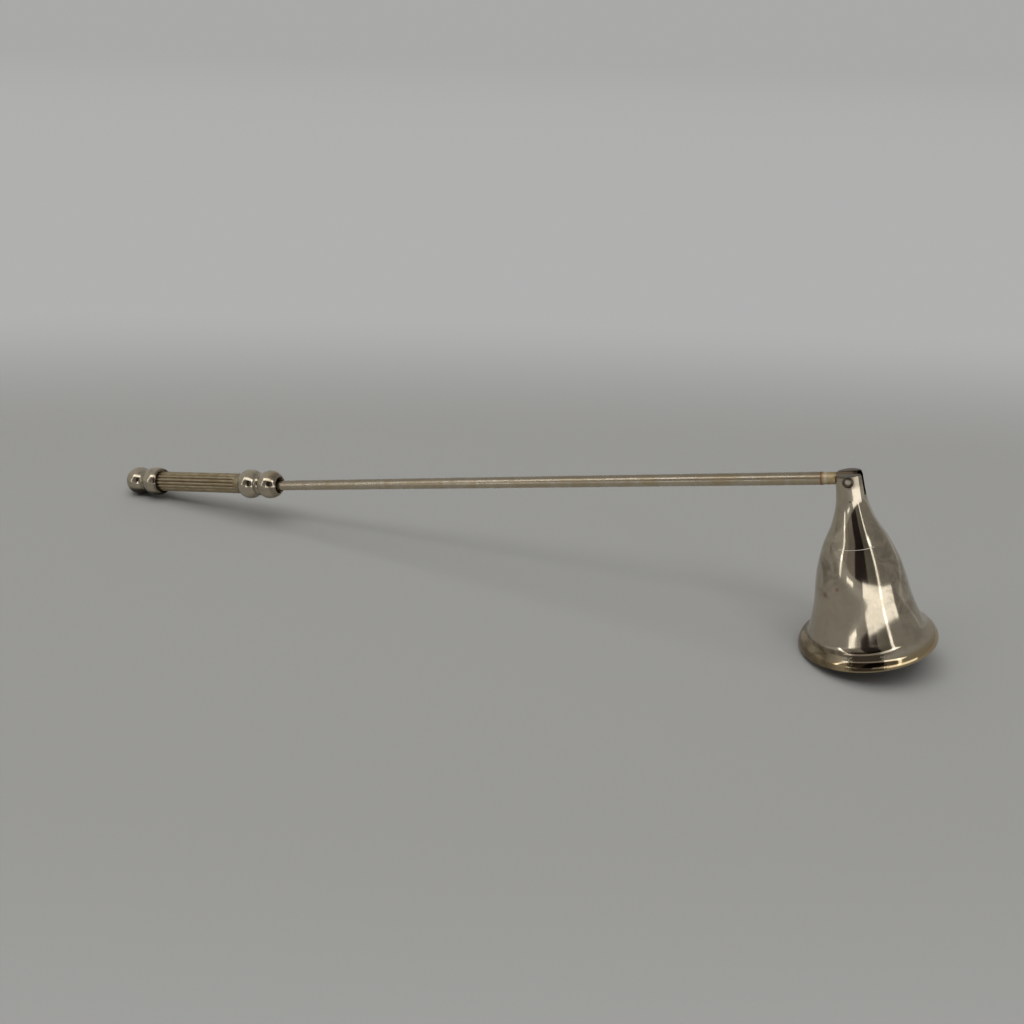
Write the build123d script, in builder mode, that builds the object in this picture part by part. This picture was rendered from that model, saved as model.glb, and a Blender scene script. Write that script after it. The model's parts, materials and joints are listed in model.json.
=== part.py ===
from build123d import *
import os
from math import asin, atan2, cos, degrees, hypot, pi, radians, sin, sqrt

# Candle snuffer: a bell hinged to a thin tapered shaft, with a reeded grip between two turned knobs.
# Millimetres. +X runs from the tail knob to the bell, +Z is up, and the shaft lies in the XZ plane.
# It is modelled as it stands on a table, on the tail ball and on the near side of the bell's rim.

# General clearances and overruns
fit_clearance = 0.02
register_clearance = 0.05
running_clearance = 0.06
slot_clearance = 0.1
cut_overrun = 2.0

# Handle
ball_spacing = 61.0
handle_bend = 2.15
tail_ball_radius = 5.2
front_ball_radius = 5.1

# Turned knobs, each measured from the centre of its ball towards the grip
tail_waist_at = 3.8
tail_waist_radius = 4.2
tail_bead_at = 7.9
tail_bead_radius = 5.35
tail_face_at = 11.1
tail_face_radius = 4.65
tail_cup_radius = 4.25
front_waist_at = 4.25
front_waist_radius = 4.15
front_bead_at = 7.9
front_bead_radius = 5.3
front_face_at = 11.6
front_face_radius = 4.3
front_cup_radius = 3.9
waist_half_width = 1.0
cup_depth = 1.8

# Reeded grip sleeve and the stud through it
grip_radius = 3.7
grip_bore_radius = 2.3
reed_count = 16
reed_depth = 0.45
register_length = 2.0
stud_radius = 1.5
stud_hole_end = 4.2
stud_end_gap = 0.3

# Shaft, a tapered tube soldered into the front knob a little below the middle of its ball
shaft_length = 201.15
shaft_drop = 0.5
shaft_root_radius = 1.76
shaft_tip_radius = 1.9
shaft_bore_radius = 1.1
socket_depth = 3.2
socket_mouth_radius = 3.0
countersink_depth = 2.2

# Hinge fitting at the shaft's tip, measured from the pin
joint_at = 7.7
ring_width = 0.7
ring_radius = 1.95
shank_radius = 1.8
spigot_length = 8.0
tongue_thickness = 2.8

# Hinge pin, a rivet with a formed head sunk into each side of the neck
pin_radius = 0.8
head_radius = 1.5
head_seat_at = 3.25
head_height = 0.62
head_edge = 0.3
seat_clearance = 0.08

# Bell, measured from the pin along the bell's axis
rim_depth = 51.6
rim_radius = 19.95
rim_edge = 0.3
bell_wall = 0.9
neck_top = 1.6
neck_radius = 3.9
neck_length = 5.2
neck_taper = 3.0
slot_depth = 4.9
crown_depth = 8.2
lip_height = 3.9
lip_width = 2.85

# Outside of the bell between its neck and its lip, as shares of the rim's depth and radius
body_depth_shares = (0.2205, 0.293, 0.366, 0.442, 0.517, 0.608, 0.698, 0.809)
body_radius_shares = (0.276, 0.349, 0.446, 0.524, 0.586, 0.638, 0.677, 0.745)
lip_depth_shares = (0.878, 0.911, 0.926, 0.942, 0.963)
lip_radius_shares = (0.802, 0.84, 0.88, 0.945, 0.9825)
crown_radius_share = 0.5
inner_end_slope = 62.0


def side_plane(origin, slope, facing=1):
    """Plane in the XZ plane, its x axis along a line of the given slope and its y axis above it."""
    return Plane(origin=origin, x_dir=(facing * cos(slope), 0, facing * sin(slope)), z_dir=(0, -facing, 0))


def cross_plane(plane, distance):
    """Plane square to another plane's x axis, at a distance along it."""
    return Plane(origin=plane.origin + plane.x_dir * distance, z_dir=plane.x_dir)


# Derived sizes of the hinge: the shank's square end stops against the neck's taper,
# and the tops of the ears are rounded about the pin to let that end swing past.
slot_width = tongue_thickness + 2 * slot_clearance
taper = radians(neck_taper)
ear_swing_radius = sqrt(neck_radius**2 - (slot_width / 2) ** 2) * cos(taper)
shoulder_at = ear_swing_radius + running_clearance
neck_top_radius = neck_radius - neck_top * sin(taper) / cos(taper)
neck_end_radius = neck_radius + neck_length * sin(taper) / cos(taper)

# Rest pose: the shaft's slope follows from the tail ball and the rim both touching the table
bend = radians(handle_bend)
edge_circle_radius = rim_radius - rim_edge
edge_circle_depth = rim_depth - rim_edge
sine_part = ball_spacing * cos(bend) + shaft_length + edge_circle_depth * sin(taper) - edge_circle_radius * cos(taper)
lever_part = ball_spacing * sin(bend) + edge_circle_depth * cos(taper) + edge_circle_radius * sin(taper)
cosine_part = -lever_part - shaft_drop
shaft_slope = atan2(-cosine_part, sine_part) + asin((rim_edge - tail_ball_radius) / hypot(sine_part, cosine_part))
handle_slope = shaft_slope - bend
bell_tilt = shaft_slope + taper

# Places of the tail ball, the front ball and the pin, with the origin under the middle of the snuffer
handle_run = ball_spacing * cos(handle_slope)
shaft_run = shaft_length * cos(shaft_slope) + shaft_drop * sin(shaft_slope)
shaft_rise = shaft_length * sin(shaft_slope) - shaft_drop * cos(shaft_slope)
bell_reach = edge_circle_depth * sin(bell_tilt) + edge_circle_radius * cos(bell_tilt) + rim_edge
tail_x = tail_ball_radius - (tail_ball_radius + handle_run + shaft_run + bell_reach) / 2
tail_centre = Vector(tail_x, 0, tail_ball_radius)
front_centre = tail_centre + Vector(handle_run, 0, ball_spacing * sin(handle_slope))
pin_centre = front_centre + Vector(shaft_run, 0, shaft_rise)

tail_plane = side_plane(tail_centre, handle_slope)
front_plane = side_plane(front_centre, handle_slope, facing=-1)
shaft_plane = side_plane(pin_centre, shaft_slope)
bell_plane = side_plane(pin_centre, bell_tilt)
bell_slot_plane = Plane(origin=pin_centre, x_dir=(0, 1, 0), z_dir=bell_plane.x_dir)
tail_floor_at = tail_face_at - cup_depth
front_floor_at = front_face_at - cup_depth
sleeve_length = ball_spacing - tail_floor_at - front_floor_at


def knob_outline(ball_radius, waist_at, waist_radius, bead_at, bead_radius, face_at, face_radius, cup_radius):
    """Half section of a turned knob: ball, waist, barrel bead, cupped face and the sleeve's register."""
    floor_at = face_at - cup_depth
    register_radius = grip_bore_radius - register_clearance
    near_waist = waist_at - waist_half_width
    far_waist = waist_at + waist_half_width
    shoulder = sqrt(ball_radius**2 - near_waist**2)
    ThreePointArc((-ball_radius, 0), (0, ball_radius), (near_waist, shoulder))
    ThreePointArc((near_waist, shoulder), (waist_at, waist_radius), (far_waist, shoulder))
    ThreePointArc((far_waist, shoulder), (bead_at, bead_radius), (face_at, face_radius))
    Polyline(
        (face_at, face_radius),
        (face_at, cup_radius),
        (floor_at, cup_radius),
        (floor_at, register_radius),
        (floor_at + register_length, register_radius),
        (floor_at + register_length, 0),
        (-ball_radius, 0),
    )


# Tail knob, with the stud's blind hole
with BuildPart() as tail_knob:
    with BuildSketch(tail_plane):
        with BuildLine():
            knob_outline(
                tail_ball_radius,
                tail_waist_at,
                tail_waist_radius,
                tail_bead_at,
                tail_bead_radius,
                tail_face_at,
                tail_face_radius,
                tail_cup_radius,
            )
        make_face()
    revolve(axis=Axis(tail_plane.origin, tail_plane.x_dir))
    with BuildSketch(cross_plane(tail_plane, stud_hole_end)):
        Circle(stud_radius + fit_clearance)
    extrude(amount=tail_face_at, mode=Mode.SUBTRACT)

# Front knob, with the stud's hole on one side and the shaft's countersunk socket on the other
socket_start = -shaft_length - socket_depth
mouth_at = sqrt(front_ball_radius**2 - socket_mouth_radius**2) - shaft_length
cone_start = mouth_at - countersink_depth
socket_radius = shaft_root_radius + fit_clearance
cone_end_radius = socket_radius + (socket_mouth_radius - socket_radius) * (countersink_depth + cut_overrun) / countersink_depth
with BuildPart() as front_knob:
    with BuildSketch(front_plane):
        with BuildLine():
            knob_outline(
                front_ball_radius,
                front_waist_at,
                front_waist_radius,
                front_bead_at,
                front_bead_radius,
                front_face_at,
                front_face_radius,
                front_cup_radius,
            )
        make_face()
    revolve(axis=Axis(front_plane.origin, front_plane.x_dir))
    with BuildSketch(cross_plane(front_plane, stud_hole_end)):
        Circle(stud_radius + fit_clearance)
    extrude(amount=front_face_at, mode=Mode.SUBTRACT)
    with BuildSketch(shaft_plane):
        with BuildLine():
            Polyline(
                (socket_start, 0),
                (socket_start, socket_radius),
                (cone_start, socket_radius),
                (mouth_at + cut_overrun, cone_end_radius),
                (mouth_at + cut_overrun, 0),
                close=True,
            )
        make_face()
    revolve(axis=Axis(shaft_plane.origin, shaft_plane.x_dir), mode=Mode.SUBTRACT)

# Grip sleeve, a tube with round reeds along it
reed_share = sin(pi / reed_count)
reed_circle_radius = grip_radius / (1 + reed_share)
with BuildPart() as grip_sleeve:
    with BuildSketch(cross_plane(tail_plane, tail_floor_at)):
        Circle(grip_radius - reed_depth)
        with PolarLocations(reed_circle_radius, reed_count):
            Circle(reed_circle_radius * reed_share)
        Circle(grip_bore_radius, mode=Mode.SUBTRACT)
    extrude(amount=sleeve_length)

# Stud that ties the two knobs together through the grip
stud_start = stud_hole_end + stud_end_gap
stud_length = ball_spacing - 2 * stud_start
with BuildPart() as tie_stud:
    with BuildSketch(cross_plane(tail_plane, stud_start)):
        Circle(stud_radius)
    extrude(amount=stud_length)

# Shaft
with BuildPart() as shaft:
    with BuildSketch(shaft_plane):
        with BuildLine():
            Polyline(
                (socket_start, shaft_bore_radius),
                (socket_start, shaft_root_radius),
                (mouth_at, shaft_root_radius),
                (-joint_at, shaft_tip_radius),
                (-joint_at, shaft_bore_radius),
                close=True,
            )
        make_face()
    revolve(axis=Axis(shaft_plane.origin, shaft_plane.x_dir))

# Hinge fitting: spigot, ring and round shank, filed flat to a round-ended tongue with the pin's eye
spigot_radius = shaft_bore_radius - fit_clearance
with BuildPart() as hinge_fitting:
    with BuildSketch(shaft_plane):
        with BuildLine():
            Polyline(
                (-joint_at - spigot_length, 0),
                (-joint_at - spigot_length, spigot_radius),
                (-joint_at, spigot_radius),
                (-joint_at, ring_radius),
                (-joint_at + ring_width, ring_radius),
                (-joint_at + ring_width, shank_radius),
                (shank_radius, shank_radius),
                (shank_radius, 0),
                close=True,
            )
        make_face()
    revolve(axis=Axis(shaft_plane.origin, shaft_plane.x_dir))
    tongue_end = shank_radius + cut_overrun
    for side in (-1, 1):
        with BuildSketch(shaft_plane.offset(side * tongue_thickness / 2)):
            with Locations(((tongue_end - shoulder_at) / 2, 0)):
                Rectangle(tongue_end + shoulder_at, 2 * tongue_end)
        extrude(amount=side * tongue_end, mode=Mode.SUBTRACT)
    with BuildSketch(shaft_plane):
        with Locations((tongue_end / 2, 0)):
            Rectangle(tongue_end, 2 * tongue_end)
        Circle(shank_radius, mode=Mode.SUBTRACT)
        Circle(pin_radius + running_clearance)
    extrude(amount=tongue_end, both=True, mode=Mode.SUBTRACT)

# Hinge pin
pin_plane = Plane(origin=pin_centre, x_dir=(0, 1, 0), z_dir=shaft_plane.x_dir)
dome_start = head_seat_at + head_edge
dome_end = head_seat_at + head_height
dome_radius = (head_radius**2 + (head_height - head_edge) ** 2) / (2 * (head_height - head_edge))
with BuildPart() as hinge_pin:
    with BuildSketch(pin_plane):
        with BuildLine():
            Polyline(
                (0, 0),
                (0, pin_radius),
                (head_seat_at, pin_radius),
                (head_seat_at, head_radius),
                (dome_start, head_radius),
            )
            RadiusArc((dome_start, head_radius), (dome_end, 0), dome_radius)
            Line((dome_end, 0), (0, 0))
        make_face()
        mirror(about=Plane.YZ)
    revolve(axis=Axis(pin_plane.origin, pin_plane.x_dir))

# Bell: its body and lip are one sheet, closed at the crown by a solid slotted neck
lip_start_depth = rim_depth - lip_height
lip_start_radius = rim_radius - lip_width
lip_mid = (lip_start_radius + lip_width * sin(pi / 4), -lip_start_depth - (lip_height - rim_edge) * (1 - cos(pi / 4)))
rim_corner = edge_circle_radius + rim_edge * sin(pi / 4), -edge_circle_depth - rim_edge * sin(pi / 4)
body_points = [(rim_radius * r, -rim_depth * d) for d, r in zip(body_depth_shares, body_radius_shares)]
lip_points = [(rim_radius * r, -rim_depth * d) for d, r in zip(lip_depth_shares, lip_radius_shares)]
inner_points = [(r - bell_wall, y) for r, y in body_points]
crown_point = (body_points[0][0] * crown_radius_share, -crown_depth - bell_wall)
end_slope = radians(inner_end_slope)
with BuildPart() as bell:
    with BuildSketch(bell_plane):
        with BuildLine():
            Polyline((0, -crown_depth), (0, neck_top), (neck_top_radius, neck_top), (neck_end_radius, -neck_length))
            Spline(
                (neck_end_radius, -neck_length),
                *body_points,
                *lip_points,
                (rim_radius, -edge_circle_depth),
                tangents=[(sin(taper), -cos(taper)), (0, -1)],
            )
            ThreePointArc((rim_radius, -edge_circle_depth), rim_corner, (edge_circle_radius, -rim_depth))
            Line((edge_circle_radius, -rim_depth), (rim_radius - bell_wall, -rim_depth))
            ThreePointArc(
                (rim_radius - bell_wall, -rim_depth),
                (lip_mid[0] - bell_wall * cos(pi / 4), lip_mid[1] - bell_wall * cos(pi / 4)),
                (lip_start_radius - bell_wall, -lip_start_depth - bell_wall / 2),
            )
            Spline(
                (lip_start_radius - bell_wall, -lip_start_depth - bell_wall / 2),
                *reversed(inner_points),
                crown_point,
                (0, -crown_depth),
                tangents=[(-cos(end_slope), sin(end_slope)), (-1, 0)],
            )
        make_face()
    revolve(axis=Axis(bell_plane.origin, bell_plane.y_dir))
    neck_reach = neck_end_radius + cut_overrun
    for side in (-1, 1):
        with BuildSketch(bell_plane.offset(side * head_seat_at)):
            Circle(head_radius + seat_clearance)
        extrude(amount=side * neck_reach, mode=Mode.SUBTRACT)
    with BuildSketch(bell_slot_plane):
        with Locations((0, (neck_top + cut_overrun - slot_depth) / 2)):
            Rectangle(slot_width, neck_top + cut_overrun + slot_depth)
    extrude(amount=neck_reach, both=True, mode=Mode.SUBTRACT)
    with BuildSketch(bell_plane):
        with Locations((0, neck_reach / 2)):
            Rectangle(2 * neck_reach, neck_reach)
        Circle(ear_swing_radius, mode=Mode.SUBTRACT)
        Circle(pin_radius + fit_clearance)
    extrude(amount=neck_reach, both=True, mode=Mode.SUBTRACT)

os.makedirs("parts", exist_ok=True)
pieces = {
    "tail_knob": tail_knob,
    "front_knob": front_knob,
    "grip_sleeve": grip_sleeve,
    "tie_stud": tie_stud,
    "shaft": shaft,
    "hinge_fitting": hinge_fitting,
    "hinge_pin": hinge_pin,
    "bell": bell,
}
for name, piece in pieces.items():
    piece.part.label = name
    export_step(piece.part, f"parts/{name}.step")
print(f"shaft slope {degrees(shaft_slope):.2f}, bell tilt {degrees(bell_tilt):.2f}, pin at {pin_centre}")
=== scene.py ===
import json
from math import acos, atan2, cos, hypot, pi, radians, sin, sqrt, tan

import bmesh
import bpy
import numpy as np
from mathutils import Matrix, Vector


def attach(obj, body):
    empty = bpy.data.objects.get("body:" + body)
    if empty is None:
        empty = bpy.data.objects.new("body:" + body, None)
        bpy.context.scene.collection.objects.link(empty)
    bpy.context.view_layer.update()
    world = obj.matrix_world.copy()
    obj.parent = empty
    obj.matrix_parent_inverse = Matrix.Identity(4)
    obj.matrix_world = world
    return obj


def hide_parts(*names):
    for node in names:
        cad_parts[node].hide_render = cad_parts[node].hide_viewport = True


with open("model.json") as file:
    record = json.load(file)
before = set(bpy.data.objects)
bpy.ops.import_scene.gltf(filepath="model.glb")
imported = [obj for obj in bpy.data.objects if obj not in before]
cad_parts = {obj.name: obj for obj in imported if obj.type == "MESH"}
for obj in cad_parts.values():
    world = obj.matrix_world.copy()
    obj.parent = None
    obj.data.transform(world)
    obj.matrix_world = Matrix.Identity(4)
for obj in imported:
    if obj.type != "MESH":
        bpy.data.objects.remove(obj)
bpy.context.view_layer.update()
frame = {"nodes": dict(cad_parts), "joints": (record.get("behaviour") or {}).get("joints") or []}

# Millimetres are turned to metres where a mesh is made
MM = 0.001
Y_AXIS = Vector((0.0, 1.0, 0.0))

# The snuffer's layout at rest: slopes of its parts, and the centres of the tail ball, front ball and pin
NECK_TAPER = radians(3.0)
HANDLE_BEND = radians(2.15)
SHAFT_SLOPE = radians(11.537)
HANDLE_SLOPE = SHAFT_SLOPE - HANDLE_BEND
BELL_TILT = SHAFT_SLOPE + NECK_TAPER
PIN = Vector(frame["joints"][0]["pos_m"]) / MM
SHAFT_WAY = Vector((cos(SHAFT_SLOPE), 0.0, sin(SHAFT_SLOPE)))
HANDLE_WAY = Vector((cos(HANDLE_SLOPE), 0.0, sin(HANDLE_SLOPE)))
BELL_WAY = Vector((sin(BELL_TILT), 0.0, -cos(BELL_TILT)))
SHAFT_LENGTH = 201.15
SHAFT_DROP = 0.5
BALL_SPACING = 61.0
ROOT = PIN - SHAFT_WAY * SHAFT_LENGTH
FRONT = ROOT + Vector((-sin(SHAFT_SLOPE), 0.0, cos(SHAFT_SLOPE))) * SHAFT_DROP
TAIL = FRONT - HANDLE_WAY * BALL_SPACING

# Knobs, from the centre of each ball towards the grip
KNOBS = {
    "tail": dict(ball=5.2, waist_at=3.8, waist=4.2, bead_at=7.9, bead=5.35, face_at=11.1, face=4.65, cup=4.25),
    "front": dict(ball=5.1, waist_at=4.25, waist=4.15, bead_at=7.9, bead=5.3, face_at=11.6, face=4.3, cup=3.9),
}
WAIST_HALF = 1.0
CUP_DEPTH = 1.8
EDGE_BREAK = 0.12

# Grip
GRIP_RADIUS = 3.7
REEDS = 16
REED_DEPTH = 0.45
SLEEVE_LENGTH = BALL_SPACING - KNOBS["tail"]["face_at"] - KNOBS["front"]["face_at"] + 2 * CUP_DEPTH

# Shaft and its socket in the front ball
SHAFT_ROOT = 1.76
SHAFT_TIP = 1.9
TUBE_EDGE = 0.1
SOCKET_DEPTH = 3.2
FIT_CLEARANCE = 0.02
MOUTH_RADIUS = 3.0
MOUTH_AT = sqrt(KNOBS["front"]["ball"] ** 2 - MOUTH_RADIUS**2)
COUNTERSINK = 2.2
CUT_OVERRUN = 2.0

# Hinge
JOINT_AT = 7.7
SLOT_WIDTH = 3.0
SLOT_DEPTH = 4.9
PIN_RADIUS = 0.8
HEAD_RADIUS = 1.5
HEAD_SEAT = 3.25
HEAD_EDGE = 0.3
HEAD_SHOULDER = 0.54
HEAD_HEIGHT = 0.62
SEAT_CLEARANCE = 0.08
CUTTER_REACH = 8.0
TRIM_HALF_WIDTH = 6.0

# Bell
RIM_DEPTH = 51.6
RIM_RADIUS = 19.95
RIM_EDGE = 0.3
WALL = 0.9
NECK_TOP = 1.6
NECK_RADIUS = 3.9
NECK_LENGTH = 5.2
CROWN = 8.2
LIP_HEIGHT = 3.9
LIP_WIDTH = 2.85
BODY_DEPTHS = (0.2205, 0.293, 0.366, 0.442, 0.517, 0.608, 0.698, 0.809)
BODY_RADII = (0.276, 0.349, 0.446, 0.524, 0.586, 0.638, 0.677, 0.745)
LIP_DEPTHS = (0.878, 0.911, 0.926, 0.942, 0.963)
LIP_RADII = (0.802, 0.84, 0.88, 0.945, 0.9825)
CROWN_SHARE = 0.5
INNER_END_SLOPE = radians(62.0)
EAR_SWING = sqrt(NECK_RADIUS**2 - (SLOT_WIDTH / 2) ** 2) * cos(NECK_TAPER)


# Node trees

# The colour mix node's sockets, which share their names with its other kinds
MIX_FIRST, MIX_SECOND, MIX_RESULT = 6, 7, 2


def feed(tree, made, socket, value):
    """Links a node's input to another node's output, or sets it to a plain value."""
    if isinstance(value, bpy.types.NodeSocket):
        tree.links.new(value, made.inputs[socket])
    else:
        made.inputs[socket].default_value = value


def add_node(tree, kind, inputs=None, **settings):
    made = tree.nodes.new(kind)
    for key, value in settings.items():
        setattr(made, key, value)
    for socket, value in (inputs or {}).items():
        feed(tree, made, socket, value)
    return made


def add_maths(tree, operation, *values, clamp=False):
    made = add_node(tree, "ShaderNodeMath", dict(enumerate(values)), operation=operation, use_clamp=clamp)
    return made.outputs[0]


def add_ramp(tree, value, low, high, to_low=0.0, to_high=1.0):
    """A smooth step from one level at low to another at high."""
    sockets = {"Value": value, "From Min": low, "From Max": high, "To Min": to_low, "To Max": to_high}
    return add_node(tree, "ShaderNodeMapRange", sockets, interpolation_type="SMOOTHSTEP").outputs["Result"]


def add_mix(tree, share, first, second):
    """A colour between two others."""
    sockets = {"Factor": share, MIX_FIRST: first, MIX_SECOND: second}
    return add_node(tree, "ShaderNodeMix", sockets, data_type="RGBA").outputs[MIX_RESULT]


# Shapes

def three_point_arc(first, middle, last, count):
    """Points along the arc through three points, without its last point."""
    (ax, ay), (bx, by), (cx, cy) = first, middle, last
    d = 2 * (ax * (by - cy) + bx * (cy - ay) + cx * (ay - by))
    ux = ((ax**2 + ay**2) * (by - cy) + (bx**2 + by**2) * (cy - ay) + (cx**2 + cy**2) * (ay - by)) / d
    uy = ((ax**2 + ay**2) * (cx - bx) + (bx**2 + by**2) * (ax - cx) + (cx**2 + cy**2) * (bx - ax)) / d
    start = atan2(ay - uy, ax - ux)
    middle_turn = (atan2(by - uy, bx - ux) - start) % (2 * pi)
    turn = (atan2(cy - uy, cx - ux) - start) % (2 * pi)
    if middle_turn > turn:
        turn -= 2 * pi
    radius = hypot(ax - ux, ay - uy)
    steps = [start + turn * i / count for i in range(count)]
    return [(ux + radius * cos(t), uy + radius * sin(t)) for t in steps]


def smooth_line(points, first_way, last_way, count=10):
    """Points along a smooth curve through the given points, with set directions at its ends, without its last point."""
    points = np.array(points, dtype=float)
    spans = np.hypot(*np.diff(points, axis=0).T)
    size = len(points)
    system = np.zeros((size, size))
    target = np.zeros((size, 2))
    system[0, 0] = system[-1, -1] = 1.0
    target[0], target[-1] = first_way, last_way
    for i in range(1, size - 1):
        before, after = spans[i - 1], spans[i]
        system[i, i - 1], system[i, i], system[i, i + 1] = after, 2 * (before + after), before
        steps = (points[i] - points[i - 1]) / before * after + (points[i + 1] - points[i]) / after * before
        target[i] = 3 * steps
    ways = np.linalg.solve(system, target)
    line = []
    for i in range(size - 1):
        span = spans[i]
        for t in np.arange(count) / count:
            h1, h2 = 2 * t**3 - 3 * t**2 + 1, t**3 - 2 * t**2 + t
            h3, h4 = 3 * t**2 - 2 * t**3, t**3 - t**2
            line.append(tuple(h1 * points[i] + h2 * span * ways[i] + h3 * points[i + 1] + h4 * span * ways[i + 1]))
    return line


def mesh_object(name, mesh_data):
    """A new object for a finished bmesh, shaded smooth but for its sharp edges."""
    mesh = bpy.data.meshes.new(name)
    mesh_data.to_mesh(mesh)
    mesh_data.free()
    return shaded(bpy.data.objects.new(name, mesh))


def shaded(piece, crease=radians(32)):
    """Shades a piece smooth but for its sharp edges, and puts it in the scene."""
    mesh = piece.data
    mesh.polygons.foreach_set("use_smooth", [True] * len(mesh.polygons))
    mesh.set_sharp_from_angle(angle=crease)
    if piece.name not in bpy.context.scene.collection.objects:
        bpy.context.scene.collection.objects.link(piece)
    return piece


def turned(name, outline, origin, way, sides=144, start=Y_AXIS):
    """A closed turned piece: its outline gives the distance along the axis and the radius, from pole to pole."""
    up = way.cross(start)
    data = bmesh.new()
    rings = []
    for place, radius in outline:
        centre = origin + way * place
        if radius < MM:
            rings.append([data.verts.new(centre * MM)])
            continue
        turns = [2 * pi * i / sides for i in range(sides)]
        rings.append([data.verts.new((centre + (start * cos(t) + up * sin(t)) * radius) * MM) for t in turns])
    for low, high in zip(rings, rings[1:]):
        for i in range(sides):
            j = (i + 1) % sides
            corners = (low[i % len(low)], low[j % len(low)], high[j % len(high)], high[i % len(high)])
            data.faces.new(list(dict.fromkeys(corners)))
    bmesh.ops.recalc_face_normals(data, faces=data.faces)
    return mesh_object(name, data)


def prism(name, outline, origin, across, up):
    """A straight-sided cutter: an outline in the plane of two directions, drawn out both ways."""
    out = across.cross(up)
    data = bmesh.new()
    near = [data.verts.new((origin + across * x + up * y - out * CUTTER_REACH) * MM) for x, y in outline]
    far = [data.verts.new((origin + across * x + up * y + out * CUTTER_REACH) * MM) for x, y in outline]
    data.faces.new(near)
    data.faces.new(far)
    for i in range(len(outline)):
        j = (i + 1) % len(outline)
        data.faces.new((near[i], near[j], far[j], far[i]))
    bmesh.ops.recalc_face_normals(data, faces=data.faces)
    return mesh_object(name, data)


def cut(piece, *cutters):
    """Takes the cutters out of the piece and deletes them."""
    for cutter in cutters:
        step = piece.modifiers.new("cut", "BOOLEAN")
        step.operation = "DIFFERENCE"
        step.solver = "EXACT"
        step.object = cutter
        result = bpy.data.meshes.new_from_object(piece.evaluated_get(bpy.context.evaluated_depsgraph_get()))
        piece.modifiers.remove(step)
        piece.data = result
        bpy.data.objects.remove(cutter)
    return shaded(piece)


def placed(piece, body, node_name, finish):
    """Gives a piece its finish and its body, and hides the CAD node it stands in for."""
    piece.data.materials.clear()
    piece.data.materials.append(finish)
    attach(piece, body)
    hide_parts(node_name)


# Finishes

class Finish:
    """A metal's node material, laid out along one piece: z runs along its axis, in millimetres."""

    def __init__(self, name, origin, way):
        self.material = bpy.data.materials.new(name)
        self.material.use_nodes = True
        self.tree = self.material.node_tree
        self.tree.nodes.clear()
        self.shader = self.add("ShaderNodeBsdfPrincipled", {"Metallic": 1.0})
        self.add("ShaderNodeOutputMaterial", {"Surface": self.shader.outputs["BSDF"]})
        self.frame_place = self.add("ShaderNodeTexCoord").outputs["Object"]
        turn = Matrix((Y_AXIS, way.cross(Y_AXIS), way))
        layout = {
            "Vector": self.frame_place,
            "Scale": (1 / MM,) * 3,
            "Rotation": turn.to_euler(),
            "Location": -(turn @ origin),
        }
        self.place = self.add("ShaderNodeMapping", layout).outputs["Vector"]

    def add(self, kind, inputs=None, **settings):
        return add_node(self.tree, kind, inputs, **settings)

    def maths(self, operation, *values, clamp=False):
        return add_maths(self.tree, operation, *values, clamp=clamp)

    def ramp(self, value, low, high, to_low=0.0, to_high=1.0):
        return add_ramp(self.tree, value, low, high, to_low, to_high)

    def mix(self, share, first, second):
        return add_mix(self.tree, share, first, second)

    def chain(self, operation, values):
        total = values[0]
        for value in values[1:]:
            total = self.maths(operation, total, value)
        return total

    def times(self, *values):
        return self.chain("MULTIPLY", values)

    def most(self, *values):
        return self.chain("MAXIMUM", values)

    def noise(self, scale, detail=3.0, stretch=None, rough=0.5, warp=0.0):
        place = self.place
        if stretch:
            place = self.add("ShaderNodeVectorMath", {0: place, 1: stretch}, operation="MULTIPLY").outputs[0]
        sockets = {"Vector": place, "Scale": scale, "Detail": detail, "Roughness": rough, "Distortion": warp}
        return self.add("ShaderNodeTexNoise", sockets).outputs["Fac"]

    def axis(self, index):
        """0: away from the viewer, 1: across the piece, 2: along it."""
        return self.add("ShaderNodeSeparateXYZ", {0: self.place}).outputs[index]

    def radius(self, first=0, second=1):
        """Distance from the line square to two directions, which is the piece's axis unless others are given."""
        squares = [self.maths("POWER", self.axis(index), 2.0) for index in (first, second)]
        return self.maths("SQRT", self.maths("ADD", *squares))

    def bearing(self):
        """Degrees round the axis: 0 on the near side, positive towards the tip."""
        turn = self.maths("ARCTAN2", self.axis(1), self.times(self.axis(0), -1.0))
        return self.times(turn, 180.0 / pi)

    def height(self):
        """Millimetres above the table, with the snuffer at rest."""
        place = self.add("ShaderNodeSeparateXYZ", {0: self.frame_place})
        return self.maths("DIVIDE", place.outputs[2], MM)

    def near(self, point, radius):
        """1 at a point of the snuffer's frame, falling to 0 at a radius."""
        sockets = {0: self.frame_place, 1: Vector(point) * MM}
        away = self.add("ShaderNodeVectorMath", sockets, operation="DISTANCE").outputs["Value"]
        return self.ramp(away, radius * MM, 0.0)

    def span(self, value, start, end, blur):
        """1 between two places along a value, with blurred ends."""
        return self.times(self.ramp(value, start - blur, start + blur), self.ramp(value, end + blur, end - blur))

    def bump(self, height, depth, strength, onto=None):
        sockets = {"Strength": strength, "Distance": depth * MM, "Height": height}
        if onto is not None:
            sockets["Normal"] = onto
        return self.add("ShaderNodeBump", sockets).outputs["Normal"]

    def wear(self, colour, roughness, normal):
        for socket, value in (("Base Color", colour), ("Roughness", roughness), ("Normal", normal)):
            feed(self.tree, self.shader, socket, value)
        return self.material


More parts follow.
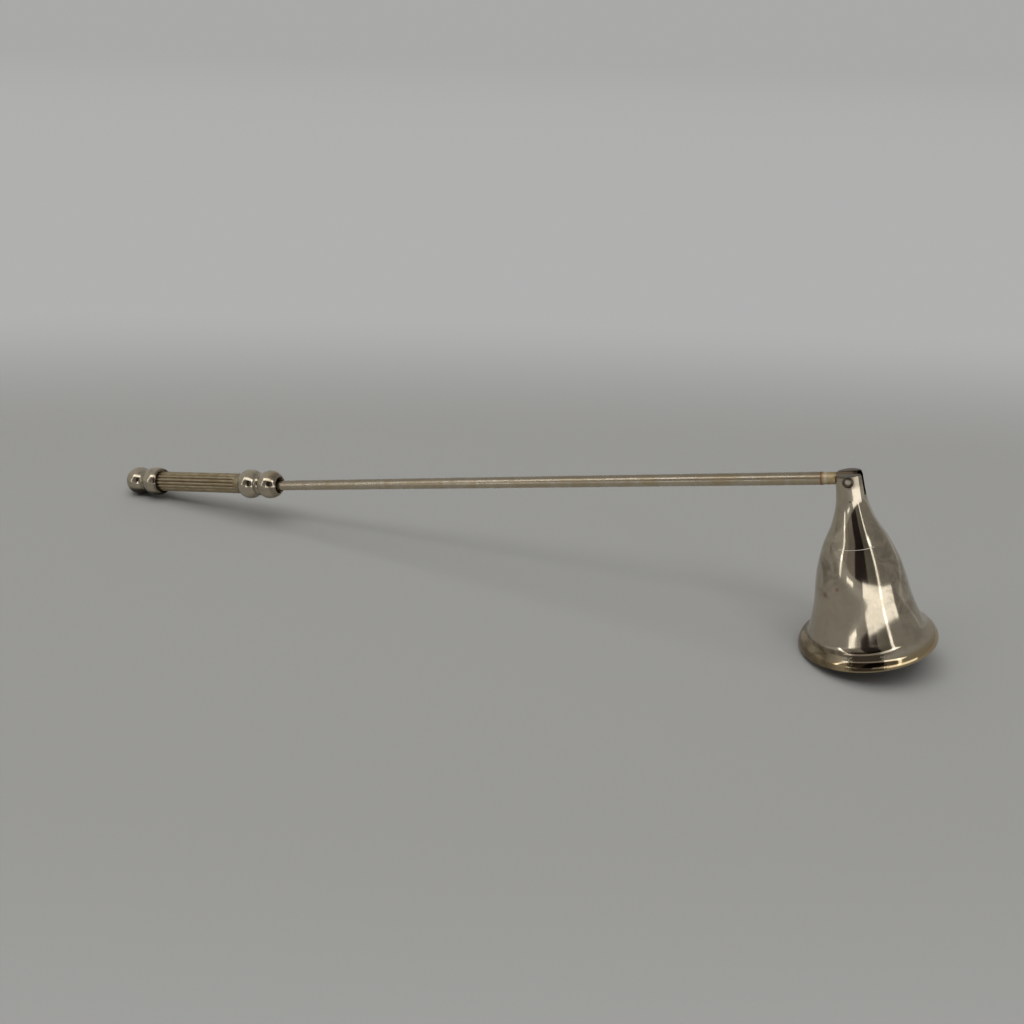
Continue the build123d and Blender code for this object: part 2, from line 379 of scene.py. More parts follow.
SILVER = (0.53, 0.465, 0.36, 1.0)
DULL_SILVER = (0.40, 0.345, 0.26, 1.0)
BRASS = (0.50, 0.37, 0.19, 1.0)
DARK_BRASS = (0.24, 0.17, 0.085, 1.0)
# Tarnish; some dark masks also paint shade and a dark reflection in this colour
TARNISH_AND_SHADE = (0.05, 0.036, 0.024, 1.0)
SCRATCH = (0.85, 0.80, 0.72, 1.0)
REDDISH = (0.33, 0.14, 0.10, 1.0)
REED_PALE = (0.42, 0.35, 0.24, 1.0)
REED_BROWN = (0.35, 0.28, 0.17, 1.0)
GROOVE = (0.29, 0.225, 0.14, 1.0)
FITTING_PALE = (0.56, 0.46, 0.28, 1.0)
FITTING_WARM = (0.46, 0.34, 0.18, 1.0)
FITTING_RING = (0.66, 0.56, 0.42, 1.0)
SOLDER_LINE = (0.30, 0.13, 0.06, 1.0)
TONGUE_SHADE = (0.13, 0.09, 0.075, 1.0)
RIVET_PALE = (0.72, 0.64, 0.56, 1.0)
RIVET_BROWN = (0.50, 0.43, 0.36, 1.0)
RIVET_EDGE = (0.14, 0.11, 0.085, 1.0)
STEEL_PALE = (0.55, 0.54, 0.52, 1.0)
STEEL_GREY = (0.40, 0.38, 0.35, 1.0)


def plate(name, origin, way, dullness, base_rough, clouded, streak, waves=0.02, worn=None, dark=None, marks=None):
    """Worn silver plate: clouds, fine rubbing marks, small pits, brass where it has worn through, and tarnish, into
    which some pieces' dark masks also mix painted shade.
    """
    finish = Finish(name, origin, way)
    clouds = finish.noise(0.22, 5.0, rough=0.6, warp=0.6)
    fine = finish.noise(2.2, 4.0, rough=0.65)
    rubs = finish.noise(6.0, 3.0, stretch=streak)
    pits = finish.ramp(finish.noise(3.4, 2.0, rough=0.4), 0.70, 0.78)
    colour = finish.mix(finish.times(finish.ramp(clouds, 0.38, 0.68), dullness), SILVER, DULL_SILVER)
    colour = finish.mix(finish.times(finish.ramp(fine, 0.55, 0.8), 0.35), colour, DULL_SILVER)
    colour = finish.mix(finish.times(pits, 0.45), colour, DARK_BRASS)
    if worn is not None:
        colour = finish.mix(worn(finish, clouds, fine), colour, BRASS)
    if dark is not None:
        # The dark mask mixes in tarnish and, for some pieces, painted shade and a painted dark reflection
        colour = finish.mix(dark(finish, clouds, fine), colour, TARNISH_AND_SHADE)
    rough = finish.maths("ADD", base_rough, finish.times(finish.ramp(clouds, 0.3, 0.75), clouded))
    rough = finish.maths("ADD", rough, finish.times(finish.ramp(rubs, 0.45, 0.75), clouded * 0.8))
    ripple = finish.bump(finish.noise(0.35, 2.0), waves, 0.5)
    normal = finish.bump(rubs, waves * 0.075, 0.5, onto=ripple)
    normal = finish.bump(pits, 0.004, 0.4, onto=normal)
    if marks is not None:
        colour, rough, normal = marks(finish, colour, rough, normal)
    return finish.wear(colour, rough, normal)


def bell_marks(finish, colour, rough, normal):
    """Faint drawn lines down the bell, a fine scratch across its shoulder, and two reddish spots on the left."""
    lines = finish.noise(1.3, 2.0, stretch=(1.0, 1.0, 0.03))
    normal = finish.bump(lines, 0.006, 0.6, onto=normal)
    depth, bearing = finish.axis(2), finish.bearing()
    scratch = finish.times(finish.span(depth, 18.52, 18.66, 0.05), finish.span(bearing, -26.0, 40.0, 4.0))
    colour = finish.mix(scratch, colour, SCRATCH)
    rough = finish.most(rough, finish.times(scratch, 0.6))
    spots = finish.maths(
        "ADD", finish.near((114.6, -9.3, 21.6), 1.5), finish.near((117.7, -11.3, 25.0), 1.0), clamp=True)
    return finish.mix(finish.times(spots, 0.75), colour, REDDISH), rough, normal


def bell_wear(finish, clouds, fine):
    """Brass showing on the rolled lip, most on its left."""
    depth, bearing = finish.axis(2), finish.bearing()
    lip = finish.span(depth, 48.9, 60.0, 0.6)
    left_lip = finish.times(finish.span(depth, 47.2, 60.0, 0.5), finish.span(bearing, -150.0, -14.0, 8.0), 0.6)
    patchy = finish.ramp(fine, 0.3, 0.55, 0.35, 0.8)
    return finish.most(finish.times(lip, patchy), finish.times(left_lip, patchy))


def bell_dark(finish, clouds, fine):
    """Tarnish on the lip and in brownish clouds left and right; tarnish with painted shade along the crease; painted
    shade over the neck's top and ear ends; a painted dark reflection along the lip's front.
    """
    depth, bearing = finish.axis(2), finish.bearing()
    ragged = finish.maths("ADD", bearing, finish.ramp(fine, 0.3, 0.7, -4.0, 4.0))

    def patch(depths, bearings, *shares):
        return finish.times(finish.span(depth, *depths), finish.span(bearing, *bearings), *shares)

    # Along the lip's crease: part tarnish, part painted shade where the rolled lip turns dark
    crease = patch((46.9, 47.9, 0.2), (-75.0, 26.0, 8.0), finish.ramp(clouds, 0.3, 0.6, 0.5, 0.8))
    # Along the lip's front, facing the viewer: a painted dark reflection
    front = finish.times(finish.span(depth, 46.8, 51.1, 0.3), finish.span(ragged, -9.0, 20.0, 2.0), 0.93)
    left_lip = patch((46.9, 60.0, 0.5), (-150.0, -22.0, 10.0), finish.ramp(clouds, 0.2, 0.7, 0.3, 0.7))
    left_cloud = patch((17.0, 30.0, 7.0), (-110.0, -22.0, 16.0), finish.ramp(clouds, 0.38, 0.62), 0.42)
    right_cloud = patch((14.0, 44.0, 6.0), (34.0, 120.0, 14.0), finish.ramp(clouds, 0.42, 0.62), 0.25)
    # Painted shade over the top of the neck's ears
    top = finish.times(finish.ramp(depth, -1.0, -1.5), 0.75)
    # Painted shade over the upper neck on the tip side, narrowing its bright reflection
    neck_painted_shade = finish.times(
        finish.ramp(depth, 2.6, 0.8), finish.span(bearing, 0.0, 80.0, 5.0), finish.ramp(bearing, 18.0, 34.0, 0.82, 0.4))
    dot = finish.times(finish.near((116.7, -4.2, 49.4), 0.45), 0.9)
    # Painted shade at the ears' ends on the tip side, where the slot opens
    slot_painted_shade = finish.times(finish.span(depth, -1.9, 0.6, 0.6), finish.ramp(finish.axis(1), 2.2, 3.6), 0.55)
    return finish.most(crease, right_cloud, front, left_lip, top, neck_painted_shade, dot, slot_painted_shade, left_cloud)


def tail_dark(finish, clouds, fine):
    """Painted shadow under the tail ball, where it mirrors its contact shadow; tarnish in the waist and round the cup's
    mouth.
    """
    along = finish.axis(2)
    # Painted shadow: the ball's underside darkened below 5 mm, standing in for the contact shadow it reflects
    under = finish.times(finish.ramp(finish.height(), 5.0, 3.3), finish.ramp(along, -4.0, -1.4), 0.97)
    waist = finish.times(finish.span(along, 3.2, 4.4, 0.5), 0.4)
    rim = finish.times(finish.span(along, 10.4, 20.0, 0.3), 0.55)
    return finish.most(finish.times(finish.ramp(clouds, 0.5, 0.75), 0.25), under, waist, rim)


def front_dark(finish, clouds, fine):
    """Tarnish in the waist, and brown patches round the shaft's socket."""
    along = finish.axis(2)
    waist = finish.times(finish.span(along, -4.9, -3.7, 0.4), 0.4)
    mouth = finish.times(finish.ramp(along, 1.9, 3.2), finish.ramp(fine, 0.3, 0.6, 0.05, 0.5))
    return finish.most(waist, mouth, finish.times(finish.ramp(clouds, 0.5, 0.75), 0.25))


def front_worn(finish, clouds, fine):
    """Brass rubbed bare beside the shaft's socket."""
    return finish.times(finish.span(finish.axis(2), 1.7, 3.0, 0.5), finish.ramp(clouds, 0.35, 0.6), 0.6)


def shaft_painted_top_shade(finish, clouds, fine):
    """A darker upper side: painted shade."""
    return finish.times(finish.ramp(finish.axis(1), 0.7, 1.5), 0.32)


def shaft_worn(finish, clouds, fine):
    """Brass showing in rubbed stretches."""
    return finish.times(finish.ramp(clouds, 0.42, 0.66), finish.ramp(fine, 0.35, 0.6, 0.4, 0.9), 0.5)


def reeded_brass():
    """The grip: plate rubbed through to brass, darkest in the grooves."""
    finish = Finish("rubbed_grip", TAIL, HANDLE_WAY)
    clouds = finish.noise(0.3, 5.0, rough=0.6, warp=0.5)
    lines = finish.noise(5.0, 3.0, stretch=(1.0, 1.0, 0.05))
    crest = finish.ramp(finish.radius(), GRIP_RADIUS - REED_DEPTH, GRIP_RADIUS - REED_DEPTH / 3)
    body = finish.mix(finish.ramp(clouds, 0.35, 0.65), REED_PALE, REED_BROWN)
    colour = finish.mix(crest, GROOVE, body)
    colour = finish.mix(finish.times(finish.ramp(lines, 0.5, 0.75), 0.4), colour, DARK_BRASS)
    return finish.wear(colour, finish.ramp(clouds, 0.3, 0.7, 0.42, 0.52), finish.bump(lines, 0.004, 0.5))


def fitting_brass():
    """Turned brass with a warm cloud: a brown line and a bright ring where it meets the tube, dark round the tongue."""
    finish = Finish("fitting_brass", PIN, SHAFT_WAY)
    clouds = finish.noise(0.6, 4.0, rough=0.6)
    lines = finish.noise(8.0, 3.0, stretch=(0.12, 0.12, 1.0))
    along = finish.axis(2)
    colour = finish.mix(finish.ramp(clouds, 0.35, 0.7), FITTING_PALE, FITTING_WARM)
    colour = finish.mix(finish.span(along, -6.9, -6.0, 0.25), colour, FITTING_RING)
    colour = finish.mix(finish.times(finish.span(along, -20.0, -7.25, 0.2), 0.8), colour, SOLDER_LINE)
    colour = finish.mix(finish.times(finish.ramp(along, -3.9, -3.1), 0.75), colour, TONGUE_SHADE)
    return finish.wear(colour, finish.ramp(clouds, 0.3, 0.7, 0.45, 0.55), finish.bump(lines, 0.003, 0.6))


def rivet_metal():
    """A dull peened head, light in the middle and dark at its edge."""
    finish = Finish("rivet_metal", PIN, BELL_WAY)
    clouds = finish.noise(1.6, 3.0, rough=0.6)
    colour = finish.mix(finish.ramp(clouds, 0.35, 0.65), RIVET_PALE, RIVET_BROWN)
    colour = finish.mix(finish.ramp(finish.radius(1, 2), 0.5, 0.95), colour, RIVET_EDGE)
    return finish.wear(colour, finish.ramp(clouds, 0.3, 0.7, 0.28, 0.42), finish.bump(clouds, 0.05, 0.5))


def drawn_steel():
    """The stud's steel, with fine lines along it."""
    finish = Finish("stud_steel", TAIL, HANDLE_WAY)
    lines = finish.noise(7.0, 3.0, stretch=(1.0, 1.0, 0.05))
    colour = finish.mix(finish.ramp(lines, 0.4, 0.7), STEEL_PALE, STEEL_GREY)
    return finish.wear(colour, finish.ramp(lines, 0.3, 0.7, 0.3, 0.45), finish.bump(lines, 0.003, 0.5))


# Pieces

def knob_outline(ball, waist_at, waist, bead_at, bead, face_at, face, cup):
    """A knob from its ball's outer pole over waist and bead to the floor of the cup in its face."""
    near, far = waist_at - WAIST_HALF, waist_at + WAIST_HALF
    shoulder = sqrt(ball**2 - near**2)
    floor_at = face_at - CUP_DEPTH
    edge = (face_at - EDGE_BREAK, face + EDGE_BREAK / 3)
    turn, steps = acos(-near / ball), 60
    line = [(-ball * cos(turn * i / steps), ball * sin(turn * i / steps)) for i in range(steps)]
    line += three_point_arc((near, shoulder), (waist_at, waist), (far, shoulder), 16)
    line += three_point_arc((far, shoulder), (bead_at, bead), edge, 40)
    line += [edge, (face_at, face - EDGE_BREAK)]
    line += [(face_at, cup + EDGE_BREAK), (face_at - EDGE_BREAK, cup), (floor_at, cup), (floor_at, 0.0)]
    return line


def tail_knob():
    """The knob at the snuffer's tail."""
    return turned("tail_knob_turned", knob_outline(**KNOBS["tail"]), TAIL, HANDLE_WAY)


def front_knob():
    """The knob at the grip's front end, with the shaft's countersunk socket."""
    knob = turned("front_knob_turned", knob_outline(**KNOBS["front"]), FRONT, -HANDLE_WAY)
    root = SHAFT_ROOT + FIT_CLEARANCE
    flare = root + (MOUTH_RADIUS - root) * (COUNTERSINK + CUT_OVERRUN) / COUNTERSINK
    end = MOUTH_AT + CUT_OVERRUN
    socket = [(-SOCKET_DEPTH, 0.0), (-SOCKET_DEPTH, root), (MOUTH_AT - COUNTERSINK, root), (end, flare), (end, 0.0)]
    return cut(knob, turned("socket_cutter", socket, ROOT, SHAFT_WAY))


def shaft():
    """The tube, straight in its socket and tapering from there to the hinge fitting's ring."""
    end, steps = SHAFT_LENGTH - JOINT_AT, 40
    run, growth = end - MOUTH_AT, SHAFT_TIP - SHAFT_ROOT
    line = [(-SOCKET_DEPTH, 0.0), (-SOCKET_DEPTH, SHAFT_ROOT), (MOUTH_AT, SHAFT_ROOT)]
    line += [(MOUTH_AT + run * i / steps, SHAFT_ROOT + growth * i / steps) for i in range(1, steps)]
    line += [(end - TUBE_EDGE, SHAFT_TIP), (end, SHAFT_TIP - TUBE_EDGE), (end, 0.0)]
    return turned("shaft_tube", line, ROOT, SHAFT_WAY, sides=96)


def hinge_pin():
    """A rivet with a softly domed head sunk into each side of the neck."""
    edge, shoulder, top = (HEAD_SEAT + height for height in (HEAD_EDGE, HEAD_SHOULDER, HEAD_HEIGHT))
    line = [(HEAD_SEAT, PIN_RADIUS), (HEAD_SEAT, HEAD_RADIUS), (edge, HEAD_RADIUS)]
    line += three_point_arc((edge, HEAD_RADIUS), (shoulder, HEAD_RADIUS / 2), (top, 0.0), 16)
    line += [(top, 0.0)]
    both = [(-place, radius) for place, radius in reversed(line)] + line
    return turned("hinge_pin_riveted", both, PIN, Y_AXIS, sides=96, start=SHAFT_WAY)


def bell_outline():
    """The bell from the top of its neck down the outside, round the lip, and up the inside to the crown."""
    top_radius = NECK_RADIUS - NECK_TOP * tan(NECK_TAPER)
    end_radius = NECK_RADIUS + NECK_LENGTH * tan(NECK_TAPER)
    edge_depth, edge_radius = RIM_DEPTH - RIM_EDGE, RIM_RADIUS - RIM_EDGE
    lip_depth, lip_radius = RIM_DEPTH - LIP_HEIGHT, RIM_RADIUS - LIP_WIDTH
    half = sin(pi / 4)
    middle = (lip_depth + (LIP_HEIGHT - RIM_EDGE) * (1 - half), lip_radius + LIP_WIDTH * half)
    body = [(RIM_DEPTH * d, RIM_RADIUS * r) for d, r in zip(BODY_DEPTHS, BODY_RADII)]
    lip = [(RIM_DEPTH * d, RIM_RADIUS * r) for d, r in zip(LIP_DEPTHS, LIP_RADII)]
    widest = (edge_depth, RIM_RADIUS)
    edge_middle = (edge_depth + RIM_EDGE * half, edge_radius + RIM_EDGE * half)
    neck_way = (cos(NECK_TAPER), sin(NECK_TAPER))
    line = [(-NECK_TOP, 0.0), (-NECK_TOP, top_radius - EDGE_BREAK), (-NECK_TOP + EDGE_BREAK, top_radius)]
    line += smooth_line([(NECK_LENGTH, end_radius), *body, *lip, widest], neck_way, (1.0, 0.0))
    line += three_point_arc(widest, edge_middle, (RIM_DEPTH, edge_radius), 10)
    line += [(RIM_DEPTH, edge_radius)]
    inside_lip = (lip_depth + WALL / 2, lip_radius - WALL)
    inside_middle = (middle[0] + WALL * half, middle[1] - WALL * half)
    line += three_point_arc((RIM_DEPTH, RIM_RADIUS - WALL), inside_middle, inside_lip, 24)
    inner = [(d, r - WALL) for d, r in reversed(body)]
    crown = (CROWN + WALL, body[0][1] * CROWN_SHARE)
    inner_way = (-sin(INNER_END_SLOPE), -cos(INNER_END_SLOPE))
    line += smooth_line([inside_lip, *inner, crown, (CROWN, 0.0)], inner_way, (0.0, -1.0))
    return line + [(CROWN, 0.0)]


def bell():
    """The bell, with the fitting's slot, a seat for each rivet head, and its ears rounded to swing past the ring."""
    up = -BELL_WAY
    piece = turned("bell_spun", bell_outline(), PIN, BELL_WAY, sides=240)
    half, top = SLOT_WIDTH / 2, NECK_TOP + CUT_OVERRUN
    slot = prism("slot_cutter", [(-half, -SLOT_DEPTH), (half, -SLOT_DEPTH), (half, top), (-half, top)], PIN, Y_AXIS, up)
    wide = HEAD_RADIUS + SEAT_CLEARANCE
    seat = [(HEAD_SEAT, 0.0), (HEAD_SEAT, wide), (CUTTER_REACH, wide), (CUTTER_REACH, 0.0)]
    seats = [turned("seat_cutter", seat, PIN, side * Y_AXIS, sides=96, start=SHAFT_WAY) for side in (-1, 1)]
    ears = [(EAR_SWING * cos(pi * i / 48), EAR_SWING * sin(pi * i / 48)) for i in range(49)]
    far = TRIM_HALF_WIDTH
    ears = [(far, 0.0), *ears, (-far, 0.0), (-far, far), (far, far)]
    trim = prism("ear_cutter", ears, PIN, BELL_WAY.cross(Y_AXIS), up)
    return cut(piece, slot, *seats, trim)


def grip_tree(sizes):
    """A node tree that grows reeds round a sleeve, with a plain ringed band at its front end, from named sizes."""
    tree = bpy.data.node_groups.new("reeded_grip", "GeometryNodeTree")
    for title, (kind, value) in sizes.items():
        tree.interface.new_socket(title, in_out="INPUT", socket_type=kind).default_value = value
    tree.interface.new_socket("Finish", in_out="INPUT", socket_type="NodeSocketMaterial")
    tree.interface.new_socket("Geometry", in_out="OUTPUT", socket_type="NodeSocketGeometry")
    size = tree.nodes.new("NodeGroupInput").outputs

    def add(kind, inputs=None):
        return add_node(tree, kind, inputs).outputs[0]

    def maths(operation, *values):
        return add_maths(tree, operation, *values)

    # A flat grid: its rows run along the sleeve, its columns round it
    rows = 90
    columns = maths("ADD", maths("MULTIPLY", size["Reeds"], size["Points per Reed"]), 1.0)
    grid = {"Size X": 1.0, "Size Y": 1.0, "Vertices X": rows, "Vertices Y": columns}
    sheet = add("GeometryNodeMeshGrid", grid)
    spread = add_node(tree, "ShaderNodeSeparateXYZ", {0: add("GeometryNodeInputPosition")}).outputs
    place = maths("ADD", spread[0], 0.5)
    angle = maths("MULTIPLY", maths("ADD", spread[1], 0.5), 2 * pi)

    # The first and last rows close the ends, so the run along the axis stands still over them
    step = maths("DIVIDE", 1.0, rows - 1.0)
    inner_share = maths("SUBTRACT", 1.0, maths("MULTIPLY", step, 2.0))
    run = maths("DIVIDE", maths("SUBTRACT", place, step), inner_share)
    run = maths("MINIMUM", maths("MAXIMUM", run, 0.0), 1.0)
    run = maths("MULTIPLY", run, size["Length"])

    # Round reeds side by side, no deeper than the grooves between them
    sector = maths("DIVIDE", 2 * pi, size["Reeds"])
    swing = maths("SUBTRACT", maths("MODULO", angle, sector), maths("DIVIDE", sector, 2.0))
    share = maths("SINE", maths("DIVIDE", sector, 2.0))
    circle = maths("DIVIDE", size["Grip Radius"], maths("ADD", share, 1.0))
    reed = maths("MULTIPLY", circle, share)
    offset = maths("MULTIPLY", circle, maths("SINE", swing))
    room = maths("MAXIMUM", maths("SUBTRACT", maths("POWER", reed, 2.0), maths("POWER", offset, 2.0)), 0.0)
    reeded = maths("ADD", maths("MULTIPLY", circle, maths("COSINE", swing)), maths("SQRT", room))
    reeded = maths("MAXIMUM", reeded, maths("SUBTRACT", size["Grip Radius"], REED_DEPTH))

    # The reeds fade into the band
    band_end = maths("SUBTRACT", size["Length"], size["Band End"])
    band_start = maths("SUBTRACT", band_end, size["Band Width"])
    fade = add_ramp(tree, run, band_start, maths("ADD", band_start, 0.6))
    radius = add("ShaderNodeMix", {"Factor": fade, 2: reeded, 3: size["Band Radius"]})
    half_step = maths("MULTIPLY", step, 0.5)
    inside = maths("MULTIPLY", maths("GREATER_THAN", place, half_step),
                   maths("LESS_THAN", place, maths("SUBTRACT", 1.0, half_step)))
    radius = maths("MULTIPLY", radius, inside)
    x, y = (maths("MULTIPLY", radius, maths(way, angle)) for way in ("COSINE", "SINE"))
    spot = add("ShaderNodeCombineXYZ", {0: x, 1: y, 2: run})
    wrap = add("GeometryNodeSetPosition", {"Geometry": sheet, "Position": spot})
    weld = add("GeometryNodeMergeByDistance", {"Geometry": wrap, "Distance": 0.002})

    # Raised rings on the band
    start = add("ShaderNodeCombineXYZ", {2: maths("ADD", band_start, 0.75)})
    gap = add("ShaderNodeCombineXYZ", {2: maths("DIVIDE", size["Band Width"], 3.2)})
    ring_line = add("GeometryNodeMeshLine", {"Count": 3, "Start Location": start, "Offset": gap})
    hoop = add("GeometryNodeCurvePrimitiveCircle", {"Resolution": 112, "Radius": size["Band Radius"]})
    section = add("GeometryNodeCurvePrimitiveCircle", {"Resolution": 10, "Radius": size["Ring Thickness"]})
    ring = add("GeometryNodeCurveToMesh", {"Curve": hoop, "Profile Curve": section})
    rings = add("GeometryNodeInstanceOnPoints", {"Points": ring_line, "Instance": ring})

    join = add_node(tree, "GeometryNodeJoinGeometry")
    feed(tree, join, "Geometry", weld)
    feed(tree, join, "Geometry", rings)
    real = add("GeometryNodeRealizeInstances", {"Geometry": join.outputs[0]})
    paint = add("GeometryNodeSetMaterial", {"Geometry": real, "Material": size["Finish"]})
    add_node(tree, "NodeGroupOutput", {"Geometry": paint})
    return tree


def grip_sleeve():
    """The reeded sleeve, made a plain mesh and laid between the knobs."""
    sizes = {
        "Reeds": ("NodeSocketInt", REEDS),
        "Points per Reed": ("NodeSocketInt", 14),
        "Grip Radius": ("NodeSocketFloat", GRIP_RADIUS),
        "Length": ("NodeSocketFloat", SLEEVE_LENGTH),
        "Band Radius": ("NodeSocketFloat", 3.6),
        "Band Width": ("NodeSocketFloat", 3.0),
        "Band End": ("NodeSocketFloat", CUP_DEPTH),
        "Ring Thickness": ("NodeSocketFloat", 0.1),
    }
    tree = grip_tree(sizes)
    holder = bpy.data.objects.new("grip_holder", bpy.data.meshes.new("grip_holder"))
    bpy.context.scene.collection.objects.link(holder)
    modifier = holder.modifiers.new("reeds", "NODES")
    modifier.node_group = tree
    for item in tree.interface.items_tree:
        if item.in_out == "INPUT" and item.name in sizes:
            modifier[item.identifier] = sizes[item.name][1]
    mesh = bpy.data.meshes.new_from_object(holder.evaluated_get(bpy.context.evaluated_depsgraph_get()))
    bpy.data.objects.remove(holder)
    start = TAIL + HANDLE_WAY * (KNOBS["tail"]["face_at"] - CUP_DEPTH)
    turn = Matrix((Y_AXIS, HANDLE_WAY.cross(Y_AXIS), HANDLE_WAY)).transposed().to_4x4()
    mesh.transform(Matrix.Translation(start * MM) @ turn @ Matrix.Scale(MM, 4))
    data = bmesh.new()
    data.from_mesh(mesh)
    bmesh.ops.recalc_face_normals(data, faces=data.faces)
    data.to_mesh(mesh)
    data.free()
    return shaded(bpy.data.objects.new("grip_reeded", mesh), radians(40))


knob_plate = dict(base_rough=0.1, clouded=0.08, streak=(0.06, 0.06, 1.0))
plated_tail = plate("plated_tail_knob", TAIL, HANDLE_WAY, dullness=0.7, dark=tail_dark, **knob_plate)
plated_front = plate(
    "plated_front_knob", FRONT, HANDLE_WAY, dullness=0.6, worn=front_worn, dark=front_dark, **knob_plate)
plated_shaft = plate(
    "plated_shaft", ROOT, SHAFT_WAY, dullness=0.6, base_rough=0.24, clouded=0.1, waves=0.01,
    streak=(1.0, 1.0, 0.05), worn=shaft_worn, dark=shaft_painted_top_shade)
plated_bell = plate(
    "plated_bell", PIN, BELL_WAY, dullness=0.45, base_rough=0.07, clouded=0.05, waves=0.01,
    streak=(1.0, 1.0, 0.08), worn=bell_wear, dark=bell_dark, marks=bell_marks)
placed(tail_knob(), "handle", "tail_knob", plated_tail)
placed(front_knob(), "handle", "front_knob", plated_front)
placed(shaft(), "handle", "shaft", plated_shaft)
placed(grip_sleeve(), "handle", "grip_sleeve", reeded_brass())
placed(hinge_pin(), "bell_body", "hinge_pin", rivet_metal())
placed(bell(), "bell_body", "bell", plated_bell)
for node_name, finish in (("hinge_fitting", fitting_brass()), ("tie_stud", drawn_steel())):
    for material_slot in frame["nodes"][node_name].material_slots:
        material_slot.material = finish


# Floor, light and camera

FLOOR_REACH = 60.0
FLOOR_TONE = (0.345, 0.345, 0.335, 1.0)
NEAR_HAZE = (0.435, 0.435, 0.43, 1.0)
ROOM_TONE = (0.398, 0.398, 0.393, 1.0)
LEFT_WALL = (0.44, 0.435, 0.42, 1.0)
RIGHT_WALL = (0.27, 0.265, 0.255, 1.0)
CARD_PLACE = -3.3
CARD_FOOT = 0.35
CARD_TOP = 4.2


def floor():
    """A pale sheet that grows a little lighter with distance, as the paper behind the snuffer does."""
    data = bmesh.new()
    corners = ((-1, -1), (1, -1), (1, 1), (-1, 1))
    data.faces.new([data.verts.new((x * FLOOR_REACH, y * FLOOR_REACH, 0.0)) for x, y in corners])
    piece = mesh_object("floor", data)
    material = bpy.data.materials.new("floor_paper")
    material.use_nodes = True
    tree = material.node_tree
    tree.nodes.clear()
    place = add_node(tree, "ShaderNodeTexCoord").outputs["Object"]
    oval = {"Vector": place, "Rotation": (0.0, 0.0, radians(22.0)), "Scale": (3.3, 1.0, 1.0)}
    flattened = add_node(tree, "ShaderNodeMapping", oval, vector_type="TEXTURE").outputs["Vector"]
    distance = add_node(tree, "ShaderNodeVectorMath", {0: flattened}, operation="LENGTH").outputs["Value"]
    paint = {"Base Color": FLOOR_TONE, "Roughness": 0.7, "Specular IOR Level": 0.0}
    paper = add_node(tree, "ShaderNodeBsdfPrincipled", paint)
    haze = add_mix(tree, add_ramp(tree, distance, 0.6, 5.0), NEAR_HAZE, ROOM_TONE)
    glow = add_node(tree, "ShaderNodeEmission", {"Color": haze})
    path = add_node(tree, "ShaderNodeLightPath").outputs
    mirrored = add_maths(tree, "MAXIMUM", path["Is Glossy Ray"], path["Is Transmission Ray"])
    seen = add_maths(tree, "MAXIMUM", path["Is Camera Ray"], mirrored)
    share = add_maths(tree, "MULTIPLY", seen, add_ramp(tree, distance, 0.12, 0.33))
    both = {"Fac": share, 1: paper.outputs["BSDF"], 2: glow.outputs["Emission"]}
    blend = add_node(tree, "ShaderNodeMixShader", both)
    add_node(tree, "ShaderNodeOutputMaterial", {"Surface": blend.outputs["Shader"]})
    piece.data.materials.append(material)


def card(name, corners, tone):
    """A studio card that shows in the metal and shades the light, but not in the picture itself."""
    data = bmesh.new()
    data.faces.new([data.verts.new(corner) for corner in corners])
    piece = mesh_object(name, data)
    material = bpy.data.materials.new(name)
    material.use_nodes = True
    shader = material.node_tree.nodes["Principled BSDF"]
    for socket, value in (("Base Color", (*tone, 1.0)), ("Roughness", 0.9), ("Specular IOR Level", 0.0)):
        shader.inputs[socket].default_value = value
    piece.data.materials.append(material)
    piece.visible_camera = False


def panel(name, azimuth, rise, width, height, strength, distance=3.0, aim=(0.05, 0.0, 0.03)):
    """A soft panel, placed by its direction: azimuth from the front to the right, and rise from the floor."""
    turn, lift = radians(azimuth), radians(rise)
    way = Vector((sin(turn) * cos(lift), -cos(turn) * cos(lift), sin(lift)))
    lamp = bpy.data.lights.new(name, "AREA")
    lamp.shape = "RECTANGLE"
    lamp.size = 2 * distance * tan(radians(width / 2))
    lamp.size_y = 2 * distance * tan(radians(height / 2))
    lamp.energy = strength * pi * lamp.size * lamp.size_y
    holder = bpy.data.objects.new(name, lamp)
    holder.location = Vector(aim) + way * distance
    holder.rotation_euler = (-way).to_track_quat("-Z", "Y").to_euler()
    holder.visible_camera = False
    bpy.context.scene.collection.objects.link(holder)
    return holder


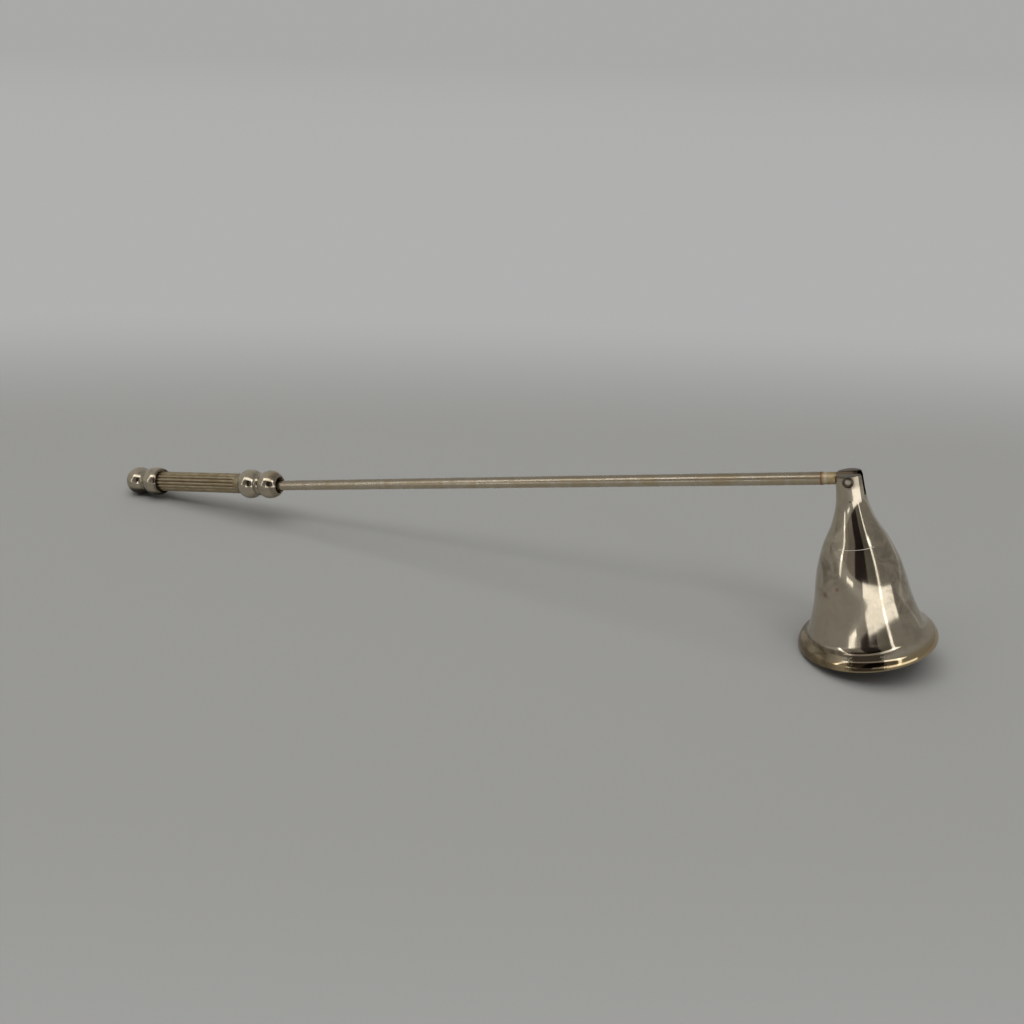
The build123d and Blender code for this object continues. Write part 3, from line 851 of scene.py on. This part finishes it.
def lights():
    """A panel overhead, and a dark opening at the front framed by bright edges. The low panels show in metal only."""
    panel("overhead", 0.0, 84.0, 60.0, 50.0, 1.55).visible_glossy = False
    panel("left_edge", -45.5, 27.0, 5.0, 50.0, 1.7)
    panel("right_edge", 54.0, 27.0, 5.0, 50.0, 1.7)
    panel("top_edge", 4.0, 60.0, 84.0, 18.0, 1.5)
    for low in (
        panel("low_edge", -19.0, 0.0, 16.0, 3.8, 1.6, distance=0.5, aim=(0.118, 0.0, 0.0175)),
        panel("left_low", -45.5, 0.0, 5.0, 13.0, 1.7, distance=0.3, aim=(0.118, 0.0, 0.035)),
        panel("low_right", 48.0, 0.0, 72.0, 13.4, 1.35, distance=0.28, aim=(0.118, 0.0, 0.034)),
    ):
        low.visible_diffuse = False
    for title, start, end, tone in (
        ("pale_side", -46.5, -30.0, (0.75, 0.70, 0.66)),
        ("grey_side", -30.0, -6.0, (0.50, 0.46, 0.45)),
        ("dark_middle", -6.0, 26.0, (0.06, 0.046, 0.05)),
        ("far_side", 26.0, 54.0, (0.42, 0.41, 0.38)),
    ):
        left, right = (0.05 - CARD_PLACE * tan(radians(turn)) for turn in (start, end))
        corners = ((left, CARD_FOOT), (right, CARD_FOOT), (right, CARD_TOP), (left, CARD_TOP))
        card(title, [(x, CARD_PLACE, z) for x, z in corners], tone)


def tent():
    """The walls round the snuffer as the metal sees them, and a plain tone where the camera looks past the floor."""
    world = bpy.data.worlds.new("tent")
    world.use_nodes = True
    bpy.context.scene.world = world
    tree = world.node_tree
    way = add_node(tree, "ShaderNodeTexCoord").outputs["Generated"]
    sideways = add_node(tree, "ShaderNodeSeparateXYZ", {0: way}).outputs[0]
    walls = add_mix(tree, add_ramp(tree, sideways, -0.7, 0.9), LEFT_WALL, RIGHT_WALL)
    to_camera = add_node(tree, "ShaderNodeLightPath").outputs["Is Camera Ray"]
    feed(tree, tree.nodes["Background"], "Color", add_mix(tree, to_camera, walls, ROOM_TONE))


def camera():
    """The camera at the photograph's viewing angle."""
    yaw, pitch, roll = radians(22.02), radians(25.21), radians(-1.53)
    right = Vector((cos(yaw), sin(yaw), 0.0))
    down = Vector((sin(yaw) * sin(pitch), -cos(yaw) * sin(pitch), -cos(pitch)))
    image_right = right * cos(roll) + down * sin(roll)
    image_down = down * cos(roll) - right * sin(roll)
    forward = image_right.cross(image_down)
    data = bpy.data.cameras.new("camera")
    data.sensor_width, data.lens, data.clip_start = 36.0, 36.78, 0.01
    eye = bpy.data.objects.new("camera", data)
    turn = Matrix((image_right, -image_down, -forward)).transposed().to_4x4()
    place = Vector((PIN.x + 14.15, -288.4, 169.8)) * MM
    eye.matrix_world = Matrix.Translation(place) @ turn
    bpy.context.scene.collection.objects.link(eye)
    bpy.context.scene.camera = eye


floor()
lights()
tent()
camera()
bpy.context.scene.view_settings.view_transform = "Standard"
